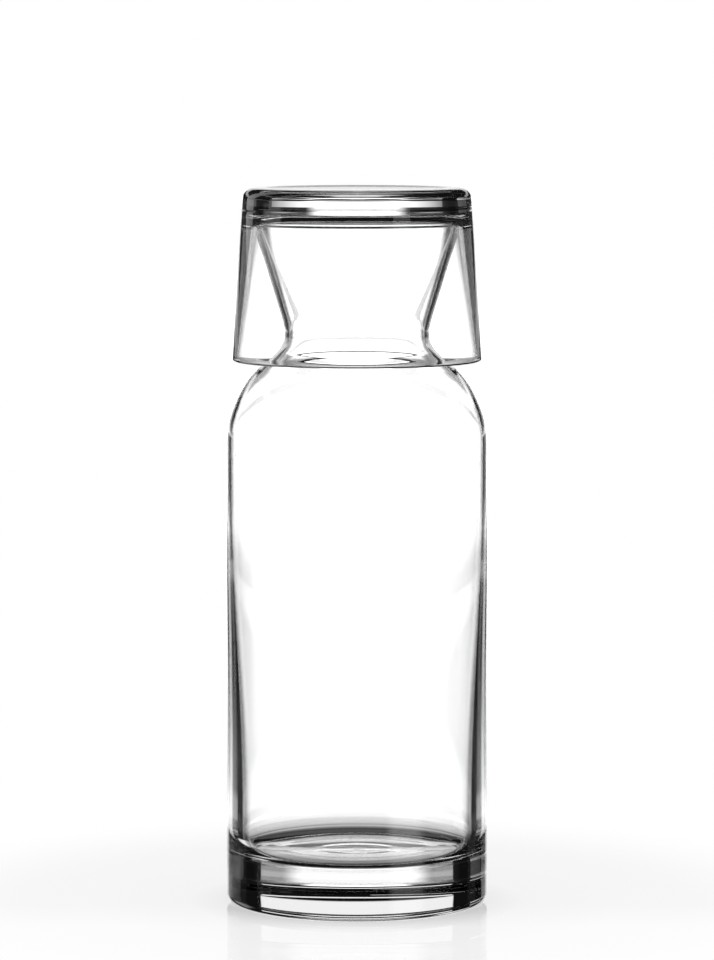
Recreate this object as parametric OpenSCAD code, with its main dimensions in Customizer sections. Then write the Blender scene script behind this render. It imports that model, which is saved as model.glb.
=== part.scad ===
// Bedside carafe with an inverted tumbler for a cap.
// Both pieces are clear glass turned about +Z. The origin is the middle of the
// carafe's foot, on the surface it stands on. Millimetres.

/* [Carafe body] */
// Height from the foot to the top of the lip
carafe_h = 250; // [240:1:270]
// Outside diameter of the straight body
body_d = 95.8; // [92:0.2:100]
// Height of the inside floor, which is the thickness of the solid base
floor_z = 18.2; // [14:0.2:22]
// Wall thickness just above the base
wall_low = 5.7; // [4:0.1:6.5]
// Wall thickness of the upper body, shoulder, neck and flare
wall_top = 1.9; // [1.6:0.05:2.4]
// Height at which the wall has thinned to its upper thickness
wall_thin_z = 152; // [120:1:160]
// Width of the blend between the inside floor and the wall
floor_blend = 5; // [4:0.5:8]
// Height of the blend between the inside floor and the wall
blend_h = 10; // [6:0.5:12]
// Radius of the outside corner at the foot
heel_r = 3.4; // [2:0.2:5]
// Width of the flat ring that the carafe stands on
foot_ring = 1.2; // [0.8:0.1:3]
// Depth of the hollow under the foot, at the axis
foot_recess = 1; // [0.7:0.1:1.6]
// How much of that depth is the shallow dome
foot_dome = 0.6; // [0.2:0.1:0.6]

/* [Mould line] */
// Height of the carafe's mould line above the foot
ridge_z = 19.1; // [16:0.1:24]
// Distance of the tumbler's mould line from its own base
t_ridge_z = 7.6; // [6:0.1:9]
// How far a mould line stands out
ridge_h = 0.04; // [0.03:0.01:0.3]
// Half the width of a mould line
ridge_w = 0.8; // [0.5:0.1:1.2]

/* [Shoulder and neck] */
// Height at which the shoulder starts to curve in
shoulder_z = 168.5; // [160:0.5:172]
// Radius of the shoulder curve
shoulder_r = 38; // [34:0.5:41]
// Steepest slope of the shoulder, in degrees from vertical
shoulder_a = 46; // [42:1:50]
// Smallest outside diameter of the neck
neck_d = 53.2; // [52:0.2:56]
// Radius of the hollow curve where the shoulder meets the neck
neck_fillet = 9.5; // [7:0.5:11]
// Radius of the hollow curve where the neck opens into the flare
flare_fillet = 18; // [12:1:24]
// Slope of the flared mouth, in degrees from vertical
flare_a = 16.86; // [14:0.1:18]

/* [Lip] */
// Outside diameter over the rounded lip
lip_d = 75.5; // [74.5:0.1:75.6]

/* [Tumbler] */
// Height of the tumbler
t_h = 63; // [60:0.5:70]
// Outside diameter at the tumbler's rim
t_rim_d = 91.4; // [90:0.2:94]
// Outside diameter at the tumbler's base, before its corner is rounded
t_base_d = 83.2; // [82:0.2:86]
// Wall thickness at the tumbler's rim
t_rim_wall = 1.8; // [1.5:0.1:2.2]
// Inside diameter at the tumbler's floor, before the blend
t_floor_d = 76; // [75.8:0.1:76.6]
// Thickness of the tumbler's solid base
t_floor_z = 9.2; // [8.4:0.1:11]
// Radius of the blend between the tumbler's floor and wall
t_blend = 5.5; // [5:0.1:6]
// Radius of the outside corner at the tumbler's base
t_heel_r = 4.5; // [3:0.1:5.5]
// Depth of the hollow under the tumbler's base, at the axis
t_recess = 0.8; // [0.5:0.1:1.4]
// How much of that depth is the shallow dome
t_dome = 0.4; // [0.1:0.1:0.4]

/* [Seat] */
// Gap between the tumbler's inside blend and the carafe's lip
seat_gap = 0.3; // [0.2:0.05:0.5]

/* [Hidden] */
$fn = 180;
arc_step = 6;                       // degrees between points on a curve

body_r = body_d / 2;
neck_r = neck_d / 2;
lip_r = wall_top / 2;               // the lip is the wall's rounded end
lip_cr = lip_d / 2 - lip_r;         // centre of the lip's rounding
lip_cz = carafe_h - lip_r;

// Neck blend: a hollow arc that touches the shoulder's slope and the neck
nf_t = (body_r - shoulder_r + (shoulder_r + neck_fillet) * cos(shoulder_a)
        - neck_r - neck_fillet) / sin(shoulder_a);
nf_z = shoulder_z + shoulder_r * sin(shoulder_a) + nf_t * cos(shoulder_a)
       + neck_fillet * sin(shoulder_a);

// Flare: its outer face touches the lip's rounding, so this is the height of its blend's centre
ff_z = max(nf_z + 0.2, lip_cz - lip_r * sin(flare_a) - flare_fillet * sin(flare_a)
       - (lip_cr + lip_r * cos(flare_a)
          - (neck_r + flare_fillet * (1 - cos(flare_a)))) / tan(flare_a));

// Points along an arc in the plane of radius and height
function arc(cr, cz, r, a0, a1) =
    let (n = max(2, ceil(abs(a1 - a0) / arc_step)))
    [for (i = [0:n]) let (a = a0 + (a1 - a0) * i / n) [cr + r * cos(a), cz + r * sin(a)]];

// Smooth step from 0 to 1
function ease(x) = let (t = min(1, max(0, x))) 0.5 - 0.5 * cos(180 * t);

// Thickness of the carafe's wall at a height
function wall(z) = wall_top + (wall_low - wall_top)
    * (1 - ease((z - floor_z - blend_h) / (wall_thin_z - floor_z - blend_h)));

// A low rounded rib at height c on a face whose radius at height z is r0 + k * z
function rib(r0, k, c) =
    [for (i = [-4:4]) let (z = c + ridge_w * i / 4) [r0 + k * z + ridge_h * (0.5 + 0.5 * cos(180 * i / 4)), z]];

// Shallow dome under a foot, from the axis out to the ring it stands on
function underside(ring_in, depth, dome) = concat(
    [for (i = [0:7]) [(ring_in - 3) * i / 8, depth - dome * pow(i / 8, 2)]],
    [for (i = [0:4]) [ring_in - 3 + 3 * i / 4, (depth - dome) * (1 - ease(i / 4))]]);

module carafe_section() {
    outer = concat(
        underside(body_r - heel_r - foot_ring, foot_recess, foot_dome),
        arc(body_r - heel_r, heel_r, heel_r, -90, 0),
        rib(body_r, 0, ridge_z),
        arc(body_r - shoulder_r, shoulder_z, shoulder_r, 0, shoulder_a),
        arc(neck_r + neck_fillet, nf_z, neck_fillet, 180 + shoulder_a, 180),
        arc(neck_r + flare_fillet, ff_z, flare_fillet, 180, 180 - flare_a),
        arc(lip_cr, lip_cz, lip_r, -flare_a, 180 - flare_a));
    inner = concat(
        arc(neck_r + flare_fillet, ff_z, flare_fillet + wall_top, 180 - flare_a, 180),
        arc(neck_r + neck_fillet, nf_z, neck_fillet + wall_top, 180, 180 + shoulder_a),
        arc(body_r - shoulder_r, shoulder_z, shoulder_r - wall_top, shoulder_a, 0),
        [for (i = [0:16]) let (z = wall_thin_z + (floor_z + blend_h - wall_thin_z) * i / 16)
            [body_r - wall(z), z]],
        [for (a = [arc_step:arc_step:90])
            [body_r - wall_low - floor_blend * (1 - pow(max(0, cos(a)), 0.75)),
             floor_z + blend_h * (1 - pow(sin(a), 0.75))]],
        [[0, floor_z]]);
    polygon(concat(outer, inner));
}

// Tumbler, measured upright from its own base
t_k = (t_rim_d - t_base_d) / 2 / t_h;                       // outer taper
t_ki = ((t_rim_d - t_floor_d) / 2 - t_rim_wall) / (t_h - t_floor_z);  // inner taper
t_ao = atan(t_k);
t_ai = atan(t_ki);
t_heel_cr = t_base_d / 2 + t_k * t_heel_r - t_heel_r / cos(t_ao);
t_blend_cr = t_floor_d / 2 + t_ki * t_blend - t_blend / cos(t_ai);
t_rim_r = t_rim_wall / 2;
t_rim_cr = t_rim_d / 2 - t_rim_r - 0.03;

// Seat: the lip's rounding lies inside the tumbler's blend with an even gap
seat_d = t_blend - lip_r - seat_gap;
seat_up = sqrt(max(0, seat_d * seat_d - (lip_cr - t_blend_cr) * (lip_cr - t_blend_cr)));
t_top = lip_cz - seat_up + t_blend + t_floor_z;             // height of the tumbler's base

module tumbler_section() {
    polygon(concat(
        underside(t_heel_cr - 3.4, t_recess, t_dome),
        arc(t_heel_cr, t_heel_r, t_heel_r, -90, -t_ao),
        rib(t_base_d / 2, t_k, t_ridge_z),
        arc(t_rim_cr, t_h - t_rim_r, t_rim_r, -t_ao, 180 - t_ai),
        arc(t_blend_cr, t_floor_z + t_blend, t_blend, -t_ai, -90),
        [[0, t_floor_z]]));
}

module carafe() {
    color([0.86, 0.89, 0.89, 0.45]) rotate_extrude() carafe_section();
}

// Turned over and set down over the mouth
module tumbler() {
    color([0.78, 0.82, 0.84, 0.55])
        translate([0, 0, t_top]) mirror([0, 0, 1]) rotate_extrude() tumbler_section();
}

carafe();
tumbler();
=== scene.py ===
import math

import bpy
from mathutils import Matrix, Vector


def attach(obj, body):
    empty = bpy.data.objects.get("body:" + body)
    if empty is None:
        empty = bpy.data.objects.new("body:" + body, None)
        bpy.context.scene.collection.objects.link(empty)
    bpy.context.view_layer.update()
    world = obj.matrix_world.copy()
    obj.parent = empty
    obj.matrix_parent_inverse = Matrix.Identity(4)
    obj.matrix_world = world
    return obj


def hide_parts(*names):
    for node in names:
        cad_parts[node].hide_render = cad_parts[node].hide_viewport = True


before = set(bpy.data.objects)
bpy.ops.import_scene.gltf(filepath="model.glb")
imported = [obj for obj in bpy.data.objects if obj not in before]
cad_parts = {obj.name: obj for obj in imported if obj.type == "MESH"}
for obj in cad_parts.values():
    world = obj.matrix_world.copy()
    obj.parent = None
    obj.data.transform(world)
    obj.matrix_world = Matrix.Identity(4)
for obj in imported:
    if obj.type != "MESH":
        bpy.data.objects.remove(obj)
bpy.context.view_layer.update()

# ---------------------------------------------------------------- sizes, in metres
MM = 0.001
BODY_R = 47.9 * MM
HEEL_R = 3.4 * MM
CARAFE_H = 250.0 * MM
FLOOR_Z = 18.2 * MM
WALL_LOW = 5.7 * MM
WALL_TOP = 1.9 * MM
WALL_THIN_Z = 152.0 * MM
FLOOR_BLEND = 5.0 * MM
BLEND_H = 10.0 * MM
FOOT_RECESS = 1.0 * MM
FOOT_DOME = 0.6 * MM
FOOT_RING = 1.2 * MM
RIDGE_Z = 19.1 * MM
RIDGE_H = 0.04 * MM
RIDGE_W = 0.8 * MM
SHOULDER_Z = 168.5 * MM
SHOULDER_R = 38.0 * MM
SHOULDER_A = 46.0
NECK_R = 26.6 * MM
NECK_FILLET = 9.5 * MM
FLARE_FILLET = 18.0 * MM
FLARE_A = 16.86
LIP_R = WALL_TOP / 2
FLARE_OUT = LIP_R
LIP_CR = 37.75 * MM - LIP_R
LIP_CZ = CARAFE_H - LIP_R

T_H = 63.0 * MM
T_RIM_R = 45.7 * MM
T_BASE_R = 41.6 * MM
T_RIM_WALL = 1.8 * MM
T_FLOOR_R = 38.0 * MM
T_FLOOR_Z = 9.2 * MM
T_BLEND = 5.5 * MM
T_HEEL_R = 4.5 * MM
T_RECESS = 0.8 * MM
T_DOME = 0.4 * MM
T_RIDGE_Z = 7.6 * MM
SEAT_GAP = 0.3 * MM

SEGMENTS = 256


def cosd(a):
    return math.cos(math.radians(a))


def sind(a):
    return math.sin(math.radians(a))


def ease(x):
    t = min(1.0, max(0.0, x))
    return 0.5 - 0.5 * math.cos(math.pi * t)


def arc(cr, cz, r, a0, a1, step=3.0):
    n = max(3, math.ceil(abs(a1 - a0) / step))
    return [
        (cr + r * cosd(a0 + (a1 - a0) * i / n), cz + r * sind(a0 + (a1 - a0) * i / n))
        for i in range(n + 1)
    ]


def line(p, q, n):
    """Points between p and q, without either end."""
    return [(p[0] + (q[0] - p[0]) * i / n, p[1] + (q[1] - p[1]) * i / n) for i in range(1, n)]


def rib(r0, k, c):
    return [
        (r0 + k * z + RIDGE_H * (0.5 + 0.5 * math.cos(math.pi * i / 8)), z)
        for i in range(-8, 9)
        for z in (c + RIDGE_W * i / 8,)
    ]


def underside(ring_in, depth, dome):
    """Shallow dome under a foot, from the axis out to the ring that it stands on."""
    edge = ring_in - 0.003
    arch = [(edge * i / 20, depth - dome * (i / 20) ** 2) for i in range(20)]
    ramp = [(edge + 0.003 * i / 8, (depth - dome) * (1 - ease(i / 8))) for i in range(9)]
    return arch + ramp


def wall(z):
    return WALL_TOP + (WALL_LOW - WALL_TOP) * (
        1 - ease((z - FLOOR_Z - BLEND_H) / (WALL_THIN_Z - FLOOR_Z - BLEND_H))
    )


def ripple(r, reach, depth):
    """Shallow rings that the pressed glass keeps on its inside floor."""
    fade = 1 - ease((r - 0.82 * reach) / (0.18 * reach))
    return depth * fade * (
        0.75 * math.cos(2 * math.pi * r / 0.0131 + 0.6)
        + 0.25 * math.cos(2 * math.pi * r / 0.0074 + 2.1)
    )


def carafe_profile():
    nf_t = (
        BODY_R - SHOULDER_R + (SHOULDER_R + NECK_FILLET) * cosd(SHOULDER_A) - NECK_R - NECK_FILLET
    ) / sind(SHOULDER_A)
    nf_z = (
        SHOULDER_Z + SHOULDER_R * sind(SHOULDER_A) + nf_t * cosd(SHOULDER_A)
        + NECK_FILLET * sind(SHOULDER_A)
    )
    ff_z = (
        LIP_CZ - FLARE_OUT * sind(FLARE_A) - FLARE_FILLET * sind(FLARE_A)
        - (LIP_CR + FLARE_OUT * cosd(FLARE_A) - (NECK_R + FLARE_FILLET * (1 - cosd(FLARE_A))))
        / math.tan(math.radians(FLARE_A))
    )
    out = underside(BODY_R - HEEL_R - FOOT_RING, FOOT_RECESS, FOOT_DOME)
    out += line(out[-1], (BODY_R - HEEL_R, 0.0), 3)
    out += arc(BODY_R - HEEL_R, HEEL_R, HEEL_R, -90, 0, 4)
    out += line(out[-1], (BODY_R, RIDGE_Z - RIDGE_W), 8)
    out += rib(BODY_R, 0, RIDGE_Z)
    out += line(out[-1], (BODY_R, SHOULDER_Z), 60)
    out += arc(BODY_R - SHOULDER_R, SHOULDER_Z, SHOULDER_R, 0, SHOULDER_A, 2)
    nxt = arc(NECK_R + NECK_FILLET, nf_z, NECK_FILLET, 180 + SHOULDER_A, 180, 3)
    out += line(out[-1], nxt[0], 5) + nxt
    nxt = arc(NECK_R + FLARE_FILLET, ff_z, FLARE_FILLET, 180, 180 - FLARE_A, 2)
    out += nxt
    nxt = arc(LIP_CR, LIP_CZ, LIP_R, -FLARE_A, 180 - FLARE_A, 7)
    out += line(out[-1], nxt[0], 16) + nxt
    inn = arc(NECK_R + FLARE_FILLET, ff_z, FLARE_FILLET + WALL_TOP, 180 - FLARE_A, 180, 2)
    out += line(out[-1], inn[0], 16) + inn
    out += arc(NECK_R + NECK_FILLET, nf_z, NECK_FILLET + WALL_TOP, 180, 180 + SHOULDER_A, 3)
    nxt = arc(BODY_R - SHOULDER_R, SHOULDER_Z, SHOULDER_R - WALL_TOP, SHOULDER_A, 0, 2)
    out += line(out[-1], nxt[0], 5) + nxt
    low = FLOOR_Z + BLEND_H
    n = 80
    out += [
        (BODY_R - wall(z), z)
        for i in range(1, n + 1)
        for z in (SHOULDER_Z + (low - SHOULDER_Z) * i / n,)
    ]
    flat = BODY_R - wall(low) - FLOOR_BLEND
    out += [
        (flat + FLOOR_BLEND * max(0.0, cosd(a)) ** 0.75, low - BLEND_H * sind(a) ** 0.75)
        for a in range(2, 91, 2)
    ]
    out += [
        (r, FLOOR_Z + ripple(r, flat, 0.00005))
        for i in range(1, 61)
        for r in (flat * (1 - i / 60),)
    ]
    return out


def tumbler_profile():
    """Upright, from its own base, and how high its base is when it is set down over the lip."""
    k = (T_RIM_R - T_BASE_R) / T_H
    ki = (T_RIM_R - T_RIM_WALL - T_FLOOR_R) / (T_H - T_FLOOR_Z)
    ao, ai = math.degrees(math.atan(k)), math.degrees(math.atan(ki))
    heel = T_BASE_R + k * T_HEEL_R - T_HEEL_R / cosd(ao)
    blend = T_FLOOR_R + ki * T_BLEND - T_BLEND / cosd(ai)
    rim = T_RIM_WALL / 2
    rim_cr = T_RIM_R - rim - 0.00003
    out = underside(heel - 0.0034, T_RECESS, T_DOME)
    out += line(out[-1], (heel, 0.0), 4)
    out += arc(heel, T_HEEL_R, T_HEEL_R, -90, -ao, 4)
    out += line(out[-1], (T_BASE_R + k * (T_RIDGE_Z - RIDGE_W), T_RIDGE_Z - RIDGE_W), 3)
    out += rib(T_BASE_R, k, T_RIDGE_Z)
    nxt = arc(rim_cr, T_H - rim, rim, -ao, 180 - ai, 10)
    out += line(out[-1], nxt[0], 40) + nxt
    nxt = arc(blend, T_FLOOR_Z + T_BLEND, T_BLEND, -ai, -90, 4)
    out += line(out[-1], nxt[0], 40) + nxt
    out += [
        (r, T_FLOOR_Z + ripple(r, blend, 0.00004))
        for i in range(1, 41)
        for r in (blend * (1 - i / 40),)
    ]
    d = T_BLEND - LIP_R - SEAT_GAP
    up = math.sqrt(d * d - (LIP_CR - blend) ** 2)
    return out, LIP_CZ - up + T_BLEND + T_FLOOR_Z


def lathe(name, profile, flip_at=None):
    """Turns a profile that runs from the axis, out, and back to the axis into a closed mesh."""
    if flip_at is not None:
        profile = [(r, flip_at - z) for r, z in profile][::-1]
    n = SEGMENTS
    verts, rings = [], []
    for r, z in profile:
        if r < 1e-7:
            rings.append([len(verts)])
            verts.append((0.0, 0.0, z))
        else:
            rings.append(list(range(len(verts), len(verts) + n)))
            verts += [
                (r * math.cos(2 * math.pi * i / n), r * math.sin(2 * math.pi * i / n), z)
                for i in range(n)
            ]
    faces = []
    for a, b in zip(rings, rings[1:]):
        for i in range(n):
            j = (i + 1) % n
            if len(a) == 1:
                faces.append((a[0], b[j], b[i]))
            elif len(b) == 1:
                faces.append((a[i], a[j], b[0]))
            else:
                faces.append((a[i], a[j], b[j], b[i]))
    mesh = bpy.data.meshes.new(name)
    mesh.from_pydata(verts, [], faces)
    mesh.validate()
    mesh.update()
    for p in mesh.polygons:
        p.use_smooth = True
    obj = bpy.data.objects.new(name, mesh)
    bpy.context.scene.collection.objects.link(obj)
    return obj


# ---------------------------------------------------------------- glass
def glass(name, tint, ior, wave):
    mat = bpy.data.materials.new(name)
    mat.use_nodes = True
    nt = mat.node_tree
    bsdf = nt.nodes["Principled BSDF"]
    bsdf.inputs["Base Color"].default_value = (*tint, 1)
    bsdf.inputs["Roughness"].default_value = 0.0
    bsdf.inputs["IOR"].default_value = ior
    bsdf.inputs["Transmission Weight"].default_value = 1.0
    co = nt.nodes.new("ShaderNodeTexCoord")
    stretch = nt.nodes.new("ShaderNodeMapping")
    stretch.inputs["Scale"].default_value = (1.0, 1.0, 0.35)
    noise = nt.nodes.new("ShaderNodeTexNoise")
    noise.inputs["Scale"].default_value = 38.0
    noise.inputs["Detail"].default_value = 0.0
    bump = nt.nodes.new("ShaderNodeBump")
    bump.inputs["Strength"].default_value = 1.0
    bump.inputs["Distance"].default_value = wave
    nt.links.new(co.outputs["Object"], stretch.inputs["Vector"])
    nt.links.new(stretch.outputs["Vector"], noise.inputs["Vector"])
    nt.links.new(noise.outputs["Fac"], bump.inputs["Height"])
    nt.links.new(bump.outputs["Normal"], bsdf.inputs["Normal"])
    return mat


carafe = lathe("carafe_glass_shell", carafe_profile())
t_profile, t_top = tumbler_profile()
tumbler = lathe("tumbler_glass_shell", t_profile, flip_at=t_top)
carafe.data.materials.append(glass("carafe_clear_glass", (0.996, 0.998, 0.997), 1.52, 0.00001))
tumbler.data.materials.append(glass("tumbler_clear_glass", (0.996, 0.998, 0.998), 1.52, 0.000006))
for piece, node, slot in (
    (carafe, "carafe", "carafe_glass"),
    (tumbler, "tumbler", "tumbler_glass"),
):
    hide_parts(node)
    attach(piece, node)


# ---------------------------------------------------------------- table
def table_top(radius):
    """A pale table top with a painted soft shade under the foot, which fades into the background.
    """
    n, verts, faces = 128, [(0.0, 0.0, -0.0002)], []
    for k in range(1, 9):
        r = radius * k / 8
        verts += [
            (r * math.cos(2 * math.pi * i / n), r * math.sin(2 * math.pi * i / n), -0.0002)
            for i in range(n)
        ]
    for i in range(n):
        faces.append((0, 1 + i, 1 + (i + 1) % n))
    for k in range(7):
        a = 1 + k * n
        for i in range(n):
            j = (i + 1) % n
            faces.append((a + i, a + n + i, a + n + j, a + j))
    mesh = bpy.data.meshes.new("table_top")
    mesh.from_pydata(verts, [], faces)
    obj = bpy.data.objects.new("table_top", mesh)
    bpy.context.scene.collection.objects.link(obj)
    mat = bpy.data.materials.new("table_white")
    mat.use_nodes = True
    nt = mat.node_tree
    nt.nodes.clear()
    out = nt.nodes.new("ShaderNodeOutputMaterial")
    clear = nt.nodes.new("ShaderNodeBsdfTransparent")
    polish = nt.nodes.new("ShaderNodeBsdfGlossy")
    polish.inputs["Roughness"].default_value = 0.0
    fresnel = nt.nodes.new("ShaderNodeFresnel")
    fresnel.inputs["IOR"].default_value = 1.5
    edge = nt.nodes.new("ShaderNodeMapRange")
    edge.interpolation_type = "SMOOTHSTEP"
    for key, v in (("From Min", 0.55), ("From Max", 0.97), ("To Min", 1.0), ("To Max", 0.0)):
        edge.inputs[key].default_value = v
    where = nt.nodes.new("ShaderNodeSeparateXYZ")
    gloss = nt.nodes.new("ShaderNodeMapRange")
    for key, v in (("From Min", -0.055), ("From Max", -0.01), ("To Min", 0.35), ("To Max", 1.0)):
        gloss.inputs[key].default_value = v
    polished = nt.nodes.new("ShaderNodeMath")
    polished.operation = "MULTIPLY"
    amount = nt.nodes.new("ShaderNodeMath")
    amount.operation = "MULTIPLY"
    mix = nt.nodes.new("ShaderNodeMixShader")
    co = nt.nodes.new("ShaderNodeTexCoord")
    length = nt.nodes.new("ShaderNodeVectorMath")
    length.operation = "LENGTH"
    # painted shade: the transparent table is tinted darker in a ring round the foot (0.80 at 44
    # mm, back to 1.0 by 100 mm), standing in for a contact shadow
    shade = nt.nodes.new("ShaderNodeValToRGB")
    fade = nt.nodes.new("ShaderNodeMapRange")
    fade.inputs["From Max"].default_value = radius
    stops = ((0.0, 1.0), (0.035, 1.0), (0.044, 0.80), (0.05, 0.88), (0.062, 0.97), (0.1, 1.0))
    for i, (r, v) in enumerate(stops):
        e = shade.color_ramp.elements[i] if i < 2 else shade.color_ramp.elements.new(r / radius)
        e.position = r / radius
        e.color = (v, v, v, 1)
    nt.links.new(co.outputs["Object"], length.inputs[0])
    nt.links.new(length.outputs["Value"], fade.inputs["Value"])
    nt.links.new(fade.outputs["Result"], shade.inputs["Fac"])
    nt.links.new(shade.outputs["Color"], clear.inputs["Color"])
    nt.links.new(fade.outputs["Result"], edge.inputs["Value"])
    nt.links.new(co.outputs["Object"], where.inputs[0])
    nt.links.new(where.outputs["Y"], gloss.inputs["Value"])
    nt.links.new(fresnel.outputs["Fac"], polished.inputs[0])
    nt.links.new(gloss.outputs["Result"], polished.inputs[1])
    nt.links.new(polished.outputs["Value"], amount.inputs[0])
    nt.links.new(edge.outputs["Result"], amount.inputs[1])
    nt.links.new(amount.outputs["Value"], mix.inputs["Fac"])
    nt.links.new(clear.outputs["BSDF"], mix.inputs[1])
    nt.links.new(polish.outputs["BSDF"], mix.inputs[2])
    nt.links.new(mix.outputs["Shader"], out.inputs["Surface"])
    mesh.materials.append(mat)
    return obj


floor = table_top(0.2)


# ---------------------------------------------------------------- studio
# Bright field: white panels behind the glass from each side it is looked at,
# and dark between them, so that the glass draws its own edges.
class Maths:
    def __init__(self, tree):
        self.tree = tree

    def __call__(self, op, *args):
        node = self.tree.nodes.new("ShaderNodeMath")
        node.operation = op
        for i, a in enumerate(args):
            if isinstance(a, (int, float)):
                node.inputs[i].default_value = a
            else:
                self.tree.links.new(a, node.inputs[i])
        return node.outputs[0]

    def ramp(self, value, lo, hi, to_lo=0.0, to_hi=1.0):
        node = self.tree.nodes.new("ShaderNodeMapRange")
        node.interpolation_type = "SMOOTHSTEP"
        self.tree.links.new(value, node.inputs["Value"])
        for key, v in (("From Min", lo), ("From Max", hi), ("To Min", to_lo), ("To Max", to_hi)):
            node.inputs[key].default_value = v
        return node.outputs["Result"]


world = bpy.data.worlds.new("studio")
bpy.context.scene.world = world
world.use_nodes = True
wt = world.node_tree
wt.nodes.clear()
m = Maths(wt)
co = wt.nodes.new("ShaderNodeTexCoord")
sep = wt.nodes.new("ShaderNodeSeparateXYZ")
wt.links.new(co.outputs["Generated"], sep.inputs[0])
az = m("DEGREES", m("ARCTAN2", sep.outputs[0], sep.outputs[1]))  # 0 along +Y, 90 along +X
el = m("DEGREES", m("ARCSINE", sep.outputs[2]))


def away(centre):
    """Degrees between this direction and a bearing."""
    turn = m("RADIANS", m("SUBTRACT", az, float(centre)))
    return m("DEGREES", m("ARCCOSINE", m("COSINE", turn)))


LEVEL = 1.25
d0 = away(0)
tight = m("MULTIPLY", d0, m.ramp(el, -7.8, -6.0, 1.0, 1.4))
tight = m("MULTIPLY", tight, m.ramp(el, -32.0, -13.0, 1.6, 1.0))
narrow = m("MAXIMUM", m.ramp(tight, 16.5, 26.5, 1.0, 0.0), m.ramp(d0, 30, 44, 0.03, 0.002))
narrow = m("MULTIPLY", narrow, m.ramp(el, -9.6, -6.4, 1.0, 1.8))
strip = m("MULTIPLY", m.ramp(d0, 50.0, 51.5, 0.0, 0.08), m.ramp(d0, 63.5, 66.0, 1.0, 0.0))
narrow = m("ADD", narrow, strip)
graded = m("MULTIPLY", m.ramp(d0, 14, 43, 1.0, 0.10), m.ramp(d0, 35.6, 36.8, 1.0, 0.12))
dim = m.ramp(d0, 14, 30, 0.08, 0.0)


def lobe(centre, width):
    """A white panel at a bearing, with soft sides."""
    return m.ramp(away(centre), width - 5.0, width + 5.0, 1.0, 0.0)


def slot(centre, level, half=36.3):
    """A wide, low panel at a bearing, which the foot and the table mirror."""
    return m.ramp(away(centre), half - 0.5, half + 0.5, level, 0.0)


rows = (
    (dim, -89.0, -70.0, -36.0, -28.0),
    (narrow, -34.0, -10.2, -2.2, -2.0),
    (graded, -2.2, -2.0, -1.4, -1.2),
    (narrow, -1.4, -1.2, 1.0, 4.0),
    (slot(0, 0.2), -11.3, -10.7, -10.0, -9.8),
    (slot(0, 0.76), 9.0, 9.4, 13.8, 14.6),
)
# what the foot mirrors up through the floor, for light that has passed more than one wall
under = ((slot(0, 0.42), 1.0, 4.0, 9.0, 9.4),)
# the panel behind the view from the front right, made taller for light through thin walls
taller = ((lobe(-45, 14), -37.0, -30.5, -15.5, -12.5),)
# what the solid glass of the two bases shows, for light that went straight through it
through = ((graded, -9.2, -8.4, -2.2, -1.2),)
# panels for looking at it from other sides, for light that is mirrored at most once
sides = (
    (lobe(-45, 14), -37.0, -30.5, -20.0, -17.0),
    (slot(-45, 0.7, 40), 28.6, 29.1, 33.0, 34.0),
    (lobe(135, 15), -28.0, -20.5, -9.5, -7.0),
    (slot(135, 0.7, 40), 18.2, 18.7, 22.0, 23.0),
    (lobe(-90, 15), -8.8, -8.2, 2.0, 3.5),
    (slot(-90, 0.7, 40), 6.2, 6.7, 9.2, 9.6),
)


def lit(panels):
    total = None
    for side, a0, a1, b0, b1 in panels:
        row = m("MULTIPLY", side, m("MULTIPLY", m.ramp(el, a0, a1), m.ramp(el, b0, b1, 1.0, 0.0)))
        total = row if total is None else m("ADD", total, row)
    return total


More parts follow.
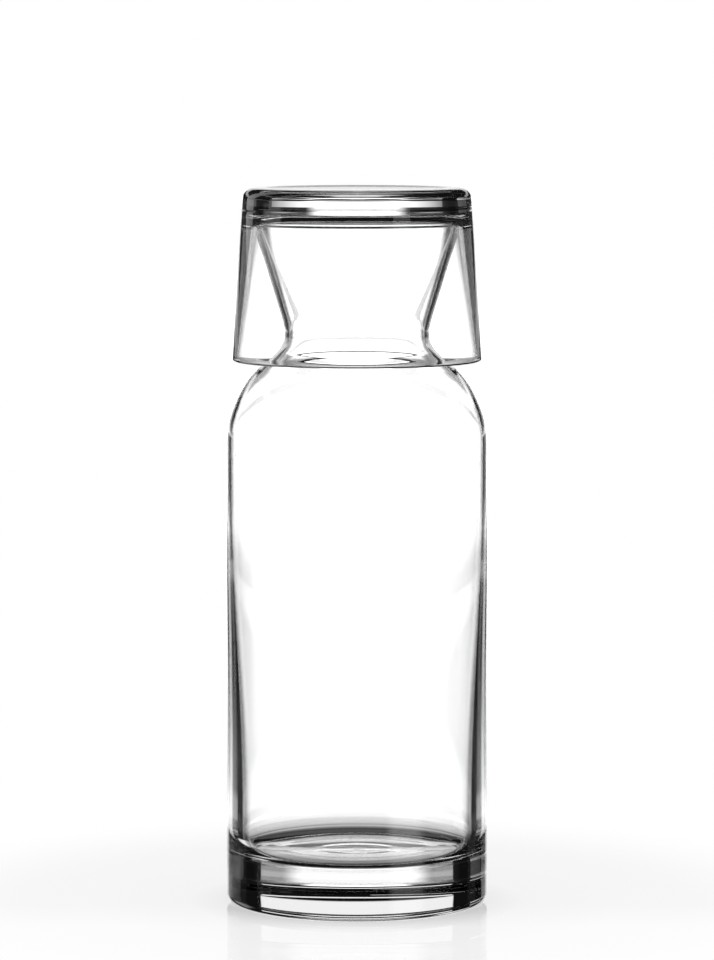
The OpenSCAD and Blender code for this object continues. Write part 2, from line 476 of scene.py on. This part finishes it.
path = wt.nodes.new("ShaderNodeLightPath")
once = m("LESS_THAN", path.outputs["Glossy Depth"], 1.5)
deep = m("GREATER_THAN", path.outputs["Transmission Depth"], 2.5)
light = m("ADD", lit(rows), m("MULTIPLY", lit(sides), once))
light = m("ADD", light, m("MULTIPLY", lit(under), deep))
light = m("MAXIMUM", light, m("MULTIPLY", lit(taller), m("MULTIPLY", once, deep)))
solid = m("MULTIPLY", m("LESS_THAN", path.outputs["Transmission Depth"], 2.5),
          m("LESS_THAN", path.outputs["Glossy Depth"], 0.5))
light = m("MAXIMUM", light, m("MULTIPLY", lit(through), solid))
light = m("MULTIPLY", m("MAXIMUM", light, 0.004), LEVEL)
glow = wt.nodes.new("ShaderNodeBackground")
glow.inputs["Color"].default_value = (1, 1, 1, 1)
wt.links.new(light, glow.inputs["Strength"])
plain = wt.nodes.new("ShaderNodeBackground")
plain.inputs["Strength"].default_value = 1.0
plain.inputs["Color"].default_value = (1, 1, 1, 1)
# What is seen directly, or mirrored by the table, is plain white. The rest sees the panels.
near = m("MINIMUM", m("MINIMUM", d0, away(-45)), m("MINIMUM", away(135), away(-90)))
mirrored = m("MULTIPLY", m("LESS_THAN", path.outputs["Transmission Depth"], 0.5),
             m("MULTIPLY", m("GREATER_THAN", el, 0.3), m("LESS_THAN", near, 9.0)))
mix = wt.nodes.new("ShaderNodeMixShader")
out = wt.nodes.new("ShaderNodeOutputWorld")
wt.links.new(m("MAXIMUM", path.outputs["Is Camera Ray"], mirrored), mix.inputs["Fac"])
wt.links.new(glow.outputs["Background"], mix.inputs[1])
wt.links.new(plain.outputs["Background"], mix.inputs[2])
wt.links.new(mix.outputs["Shader"], out.inputs["Surface"])

scene = bpy.context.scene
scene.view_settings.view_transform = "Standard"
scene.view_settings.look = "None"
scene.cycles.max_bounces = 32
scene.cycles.transmission_bounces = 32
scene.cycles.glossy_bounces = 24
scene.cycles.transparent_max_bounces = 16

# ---------------------------------------------------------------- camera
# Height and distance fitted to the ellipses of the lip, mould line and foot.
DISTANCE, HEIGHT = 1.700, 0.309
cam_data = bpy.data.cameras.new("camera")
cam = bpy.data.objects.new("camera", cam_data)
scene.collection.objects.link(cam)
scene.camera = cam
cam_data.sensor_width = 36.0
cam_data.lens = 194.6 * 0.9
aim_z = 0.155
cam.location = (0.0, -DISTANCE, HEIGHT)
cam.rotation_euler = (Vector((0, 0, aim_z)) - cam.location).to_track_quat("-Z", "Y").to_euler()
